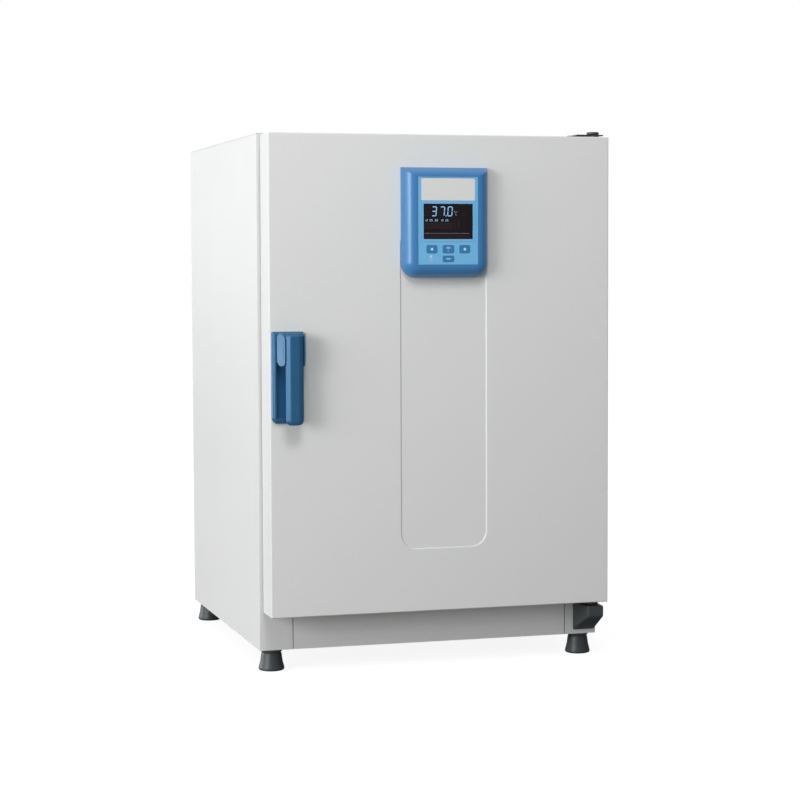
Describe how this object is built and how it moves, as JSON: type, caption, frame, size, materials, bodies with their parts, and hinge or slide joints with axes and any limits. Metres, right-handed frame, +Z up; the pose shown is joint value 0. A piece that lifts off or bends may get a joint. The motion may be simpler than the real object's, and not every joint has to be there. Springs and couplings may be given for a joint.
{
  "type": "microbiological incubator",
  "caption": "Free-standing laboratory incubator: insulated steel cabinet, solid outer door with pull handle and control unit, inner glass door, slotted shelves on racks.",
  "frame": {"origin": "bottom centre of the whole object's box, on the plane that the feet stand on", "axes": "+Z up, the outer door and its handle face -Y, the door hinges at +X"},
  "size_m": [0.64, 0.738, 0.9665],
  "materials": {
    "white_paint": "fine powder coat",
    "stainless": "fine brushed",
    "plated_steel": "zinc plated",
    "bronze": "sintered",
    "housing_blue": "fine texture",
    "handle_blue": "fine texture",
    "membrane_blue": "satin film",
    "key_blue": "satin",
    "label_white": "satin",
    "display_black": "gloss",
    "clear_glass": "clear",
    "seal_rubber": "matte",
    "silicone": "matte",
    "charcoal_plastic": "satin",
    "charcoal_metal": "satin",
    "mineral_wool": "fibrous",
    "circuit_board": "lacquered",
    "motor_casting": "cast"
  },
  "bodies": {
    "cabinet": {"left_side_panel": "white_paint", "right_side_panel": "white_paint", "top_panel": "white_paint", "plinth_panel": "white_paint", "rear_panel": "white_paint", "front_frame": "stainless", "inner_chamber": "stainless", "left_rack": "stainless", "right_rack": "stainless", "air_baffle": "stainless", "glass_bracket_upper": "stainless", "glass_bracket_lower": "stainless", "base_panel": "plated_steel", "insulation_deck": "plated_steel", "heater_element": "plated_steel", "temperature_probe": "plated_steel", "top_hinge_pin": "plated_steel", "bottom_hinge_pin": "plated_steel", "latch_keeper": "plated_steel", "bottom_hinge_bush": "bronze", "chamber_gasket": "silicone", "access_port_tube": "charcoal_plastic", "mains_inlet": "charcoal_plastic", "bottom_hinge_housing": "charcoal_plastic", "top_hinge_bracket": "charcoal_metal", "top_hinge_cap": "charcoal_metal", "insulation_jacket": "mineral_wool", "power_board": "circuit_board", "fan_motor": "motor_casting"},
    "outer_door": {"door_shell": "white_paint", "door_insulation": "mineral_wool", "door_inner_panel": "stainless", "door_gasket": "seal_rubber", "top_hinge_bush": "bronze", "handle_base": "handle_blue", "handle_pin": "plated_steel", "control_housing": "housing_blue", "control_membrane": "membrane_blue", "label_plate": "label_white", "display_window": "display_black", "control_board": "circuit_board"},
    "handle_lever": {"handle_grip": "handle_blue", "latch_hook": "plated_steel"},
    "glass_door": {"glass_pane": "clear_glass", "glass_hinge_upper": "stainless", "glass_hinge_lower": "stainless", "glass_door_knob": "charcoal_plastic"},
    "lower_shelf": {"lower_shelf": "stainless"},
    "upper_shelf": {"upper_shelf": "stainless"},
    "fan": {"fan_wheel": "stainless", "fan_shaft": "plated_steel"},
    "port_plug": {"access_port_plug": "silicone"},
    "left_key": {"left_key": "key_blue"},
    "menu_key": {"menu_key": "key_blue"},
    "right_key": {"right_key": "key_blue"},
    "back_key": {"back_key": "key_blue"},
    "foot_front_left": {"foot_front_left": "charcoal_plastic"},
    "foot_front_right": {"foot_front_right": "charcoal_plastic"},
    "foot_rear_left": {"foot_rear_left": "charcoal_plastic"},
    "foot_rear_right": {"foot_rear_right": "charcoal_plastic"}
  },
  "joints": [
    {"name": "outer_door_hinge", "type": "hinge", "parent": "cabinet", "child": "outer_door", "pos_m": [0.3, -0.294, 0.53], "axis": [0, 0, 1], "range_deg": [0, 118]},
    {"name": "handle_pull", "type": "hinge", "parent": "outer_door", "child": "handle_lever", "pos_m": [-0.27755, -0.351, 0.587], "axis": [-1, 0, 0], "range_deg": [0, 12], "stiffness_Nm_per_rad": 0.6, "springref_deg": -8.59},
    {"name": "glass_door_hinge", "type": "hinge", "parent": "cabinet", "child": "glass_door", "pos_m": [0.2496, -0.2632, 0.529], "axis": [0, 0, 1], "range_deg": [0, 102]},
    {"name": "lower_shelf_slide", "type": "slide", "parent": "cabinet", "child": "lower_shelf", "axis": [0, -1, 0], "range_m": [0, 0.024]},
    {"name": "upper_shelf_slide", "type": "slide", "parent": "cabinet", "child": "upper_shelf", "axis": [0, -1, 0], "range_m": [0, 0.024]},
    {"name": "fan_spin", "type": "hinge", "parent": "cabinet", "child": "fan", "pos_m": [0, 0.2923, 0.529], "axis": [0, 1, 0], "continuous": true},
    {"name": "plug_pull", "type": "slide", "parent": "cabinet", "child": "port_plug", "axis": [0, 1, 0], "range_m": [0, 0.04]},
    {"name": "left_key_press", "type": "slide", "parent": "outer_door", "child": "left_key", "axis": [0, 1, 0], "range_m": [0, 0.0006], "stiffness_N_per_m": 1200, "springref_m": -0.001},
    {"name": "menu_key_press", "type": "slide", "parent": "outer_door", "child": "menu_key", "axis": [0, 1, 0], "range_m": [0, 0.0006], "stiffness_N_per_m": 1200, "springref_m": -0.001},
    {"name": "right_key_press", "type": "slide", "parent": "outer_door", "child": "right_key", "axis": [0, 1, 0], "range_m": [0, 0.0006], "stiffness_N_per_m": 1200, "springref_m": -0.001},
    {"name": "back_key_press", "type": "slide", "parent": "outer_door", "child": "back_key", "axis": [0, 1, 0], "range_m": [0, 0.0006], "stiffness_N_per_m": 1200, "springref_m": -0.001},
    {"name": "foot_front_left_height", "type": "slide", "parent": "cabinet", "child": "foot_front_left", "axis": [0, 0, -1], "range_m": [0, 0.01]},
    {"name": "foot_front_right_height", "type": "slide", "parent": "cabinet", "child": "foot_front_right", "axis": [0, 0, -1], "range_m": [0, 0.01]},
    {"name": "foot_rear_left_height", "type": "slide", "parent": "cabinet", "child": "foot_rear_left", "axis": [0, 0, -1], "range_m": [0, 0.01]},
    {"name": "foot_rear_right_height", "type": "slide", "parent": "cabinet", "child": "foot_rear_right", "axis": [0, 0, -1], "range_m": [0, 0.01]}
  ],
  "couplings": [
    {"joint": "glass_door_hinge", "follows": "outer_door_hinge", "ratio": 0.85}
  ]
}
